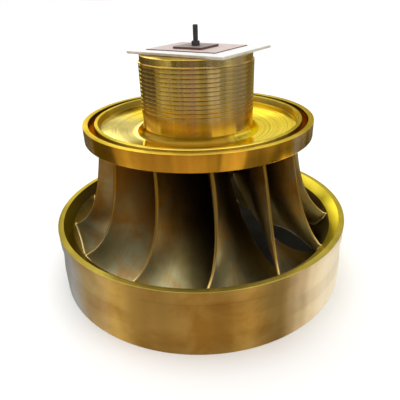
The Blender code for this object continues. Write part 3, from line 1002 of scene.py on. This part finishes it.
def ground_bronze():
    """Hand-ground cast bronze of the blades: olive near the band, browner towards the crown,
    where it is also painted darker as shade.
    """
    recipe = Recipe("ground_bronze")
    span = recipe.attribute("span")
    chord = recipe.attribute("chord")
    x, y, _ = recipe.split()
    radius = recipe.radius(x, y)
    strokes = recipe.join(recipe.times(chord, 0.5), recipe.times(span, 0.035), 0.0)
    brush = recipe.noise(220.0, 3.0, 0.6, strokes)
    broad = recipe.noise(38.0, 4.0, 0.6, strokes, 0.4)
    cloud = recipe.noise(6.0, 4.0, 0.55, distortion=0.3)
    patch = recipe.noise(10.0, 3.0, 0.5, distortion=0.5)
    # From dark brown at the crown to light olive at the band: the metal's tone, and painted shade under
    # the crown
    reach = recipe.plus(span, recipe.span(cloud, 0.3, 0.7, -0.30, 0.30))
    base = recipe.blend(recipe.span(reach, 0.10, 0.80), rgb(0.36, 0.20, 0.03), rgb(0.58, 0.54, 0.31))
    base = recipe.blend(recipe.span(patch, 0.53, 0.70, 0.0, 0.65), base, rgb(0.60, 0.28, 0.04))
    base = recipe.blend(recipe.span(broad, 0.48, 0.72, 0.0, 0.45), base, rgb(0.31, 0.29, 0.17))
    base = recipe.blend(recipe.span(brush, 0.52, 0.75, 0.0, 0.35), base, rgb(0.72, 0.64, 0.40))

    # Rust on the left blades, towards the crown
    rust_side = recipe.span(recipe.facing(x, y, radius, RUST_AZIMUTH), 0.45, 0.9)
    rust_height = recipe.span(reach, 0.45, 0.85, 0.9, 0.0)
    rust_spread = recipe.times(rust_height, recipe.span(patch, 0.38, 0.62, 0.4, 0.95))
    base = recipe.blend(recipe.times(rust_side, rust_spread), base, rgb(0.50, 0.22, 0.02))

    # The brown nose, a painted highlight on the root at the band, and painted shade deep in the passages,
    # darker towards the trailing edge and near the hub
    nose = recipe.span(recipe.attribute("nose"), 0.2, 0.8, 0.0, 0.9)
    base = recipe.blend(nose, base, rgb(0.36, 0.19, 0.02))
    root = recipe.span(recipe.attribute("root"), 0.1, 1.0, 0.0, 0.6)
    base = recipe.blend(recipe.times(root, recipe.span(span, 0.5, 0.8)), base, rgb(0.80, 0.62, 0.24))
    base = recipe.blend(recipe.span(chord, 0.45, 0.85, 0.0, 0.65), base, rgb(0.12, 0.09, 0.04))
    base = recipe.blend(recipe.span(radius, 0.25, 0.37, 0.85, 0.0), base, rgb(0.07, 0.055, 0.03))
    recipe.set(Base_Color=base, Metallic=0.92, Specular_Tint=rgb(0.70, 0.50, 0.22))
    recipe.set(Roughness=recipe.span(patch, 0.35, 0.7, 0.34, 0.46))
    scratches = recipe.bump(brush, 0.4, 0.0004)
    recipe.set(Normal=recipe.bump(cloud, 0.5, 0.003, scratches))
    return recipe.material


def plain_sheet(name, colour, dark, roughness, metallic=0.0, scale=40.0):
    """A painted, printed or rolled flat sheet, with a little dirt."""
    recipe = Recipe(name)
    dirt = recipe.noise(scale, 5.0, 0.6)
    grain = recipe.noise(scale * 9, 2.0, 0.5)
    recipe.set(Base_Color=recipe.blend(recipe.span(dirt, 0.45, 0.8), rgb(*colour), rgb(*dark)))
    recipe.set(Roughness=recipe.span(grain, 0.3, 0.7, roughness - 0.06, roughness + 0.08))
    recipe.set(Metallic=metallic, Normal=recipe.bump(grain, 0.5, 0.0004))
    return recipe.material


def floor_material():
    """A pale floor, with a dark disc of painted shade under the runner inside its foot, seen through its
    eye.
    """
    recipe = Recipe("pale_floor")
    cloud = recipe.noise(1.3, 3.0, 0.5)
    pale = recipe.blend(cloud, rgb(0.90, 0.90, 0.90), rgb(0.93, 0.93, 0.93))
    x, y, _ = recipe.split()
    # Painted shade: dark blue-grey inside the throat's radius
    under = recipe.span(recipe.radius(x, y), THROAT_RADIUS, THROAT_RADIUS + 0.02, 1.0, 0.0)
    recipe.set(Base_Color=recipe.blend(under, pale, rgb(0.16, 0.18, 0.25)))
    recipe.set(Roughness=0.75)
    return recipe.material


# Floor, light and camera


def make_floor():
    """A pale floor in two rings. Neither shows in the metal, which mirrors only the studio."""
    material = floor_material()
    rings = (("near_floor", 0.0005, FLOOR_SPLIT), ("far_floor", FLOOR_SPLIT, FLOOR_RADIUS))
    for name, inside, outside in rings:
        outline = [(inside, 0.0), (outside, 0.0)]
        mesh = grid_mesh(name, turned_points(outline, FLOOR_SEGMENTS)[::-1])
        mesh.materials.append(material)
        floor = bpy.data.objects.new(name, mesh)
        bpy.context.scene.collection.objects.link(floor)
        floor.visible_glossy = False


def studio_panel(recipe, direction, azimuth, half_width, low, high, strength, colour):
    """The light of one soft-edged panel, round its azimuth and between two elevations in degrees."""
    x, y, z, level = direction
    across = 1.0
    if half_width < 180:
        edge = math.cos(math.radians(half_width))
        core = math.cos(math.radians(half_width * PANEL_CORE))
        across = recipe.span(recipe.facing(x, y, level, azimuth), edge, core)
    soft = math.sin(PANEL_SOFTNESS) / 2
    bottom = math.sin(math.radians(low))
    top = math.sin(math.radians(high)) if high < 90 else 2.0
    up = recipe.span(z, bottom - soft, bottom + soft)
    down = recipe.span(z, top - soft, top + soft, 1.0, 0.0)
    share = recipe.times(across, recipe.times(up, down))
    return recipe.vector_times([strength * part for part in colour], share)


def make_light():
    """A dim room whose soft panels light the metal. The camera itself sees plain white."""
    world = bpy.data.worlds.new("studio")
    world.use_nodes = True
    bpy.context.scene.world = world
    recipe = Recipe.around(world.node_tree)
    x, y, z = recipe.split()
    level = recipe.calc("MAXIMUM", recipe.radius(x, y), 0.001)
    light = ROOM
    for panel in PANELS:
        light = recipe.vector_plus(light, studio_panel(recipe, (x, y, z, level), *panel))
    room = recipe.nodes["Background"]
    recipe.put(room.inputs["Color"], light)
    plain = recipe.nodes.new("ShaderNodeBackground")
    plain.inputs["Color"].default_value = rgb(1.0, 1.0, 1.0)
    mix = recipe.nodes.new("ShaderNodeMixShader")
    recipe.put(mix.inputs[0], recipe.nodes.new("ShaderNodeLightPath").outputs["Is Camera Ray"])
    recipe.put(mix.inputs[1], room.outputs[0])
    recipe.put(mix.inputs[2], plain.outputs[0])
    recipe.put(recipe.nodes["World Output"].inputs["Surface"], mix.outputs[0])


def make_camera():
    """The photograph's viewpoint, fitted to the rims of the band, the crown and the neck."""
    pitch, roll, yaw = 0.4764, -0.0308, -0.0011
    place = Vector((0.0, -1.5674, 1.0845))
    focal_length_in_pixels = 402.81
    photo_width = 400
    forward = Vector(
        (math.sin(yaw) * math.cos(pitch), math.cos(yaw) * math.cos(pitch), -math.sin(pitch))
    )
    level = Vector((math.cos(yaw), -math.sin(yaw), 0.0))
    above = level.cross(forward)
    right = math.cos(roll) * level + math.sin(roll) * above
    up = -math.sin(roll) * level + math.cos(roll) * above
    camera = bpy.data.objects.new("camera", bpy.data.cameras.new("camera"))
    bpy.context.scene.collection.objects.link(camera)
    matrix = Matrix((right, up, -forward)).transposed().to_4x4()
    matrix.translation = place
    camera.matrix_world = matrix
    camera.data.sensor_width = 36.0
    camera.data.lens = focal_length_in_pixels / photo_width * camera.data.sensor_width
    bpy.context.scene.camera = camera
    bpy.context.scene.view_settings.view_transform = "Standard"


def make_runner():
    brown = ground_bronze()
    make_crown(*crown_metals(), brown)
    make_neck(neck_metal())
    make_band(*band_metals())
    make_blades(brown)


def make_clamp():
    board_top = plain_sheet("board_face", (0.80, 0.80, 0.79), (0.70, 0.69, 0.67), 0.45)
    board_edge = plain_sheet("board_edge", (0.62, 0.58, 0.50), (0.50, 0.46, 0.40), 0.6)
    sheet_top = plain_sheet("sheet_face", (0.60, 0.50, 0.46), (0.48, 0.34, 0.30), 0.40)
    sheet_edge = plain_sheet("sheet_edge", (0.20, 0.075, 0.07), (0.12, 0.05, 0.05), 0.5)
    plate_top = plain_sheet("plate_face", (0.34, 0.28, 0.26), (0.25, 0.20, 0.18), 0.40, 0.5)
    # The plate's edges, and the lower bar's, are painted dark as shade
    plate_shaded_edge = plain_sheet("plate_shaded_edge", (0.16, 0.07, 0.055), (0.10, 0.05, 0.04), 0.5, 0.3)
    dark = plain_sheet("blackened_steel", (0.075, 0.072, 0.07), (0.13, 0.11, 0.09), 0.4, 0.8, 120.0)
    board = (board_edge, board_top)
    sheet = (sheet_edge, sheet_top)
    plate = (plate_shaded_edge, plate_top)
    make_slab("cover_board", COVER_SIZE, COVER_PLACE, COVER_TURN, 0.0015, board)
    make_slab("packing_sheet", SHEET_SIZE, SHEET_PLACE, SHEET_TURN, 0.0006, sheet)
    make_slab("clamp_plate", PLATE_SIZE, PLATE_PLACE, PLATE_TURN, 0.0010, plate)
    make_slab("lower_clamp_bar", LOWER_BAR_SIZE, (0.0, 0.0), 0.0, 0.0010, plate)
    make_nut("top_nut_hexagon", "top_nut", dark)
    make_nut("lower_nut_hexagon", "lower_nut", dark)
    make_rod("clamp_rod_threaded", "clamp_rod", dark)


make_camera()
make_floor()
make_light()
make_runner()
make_clamp()
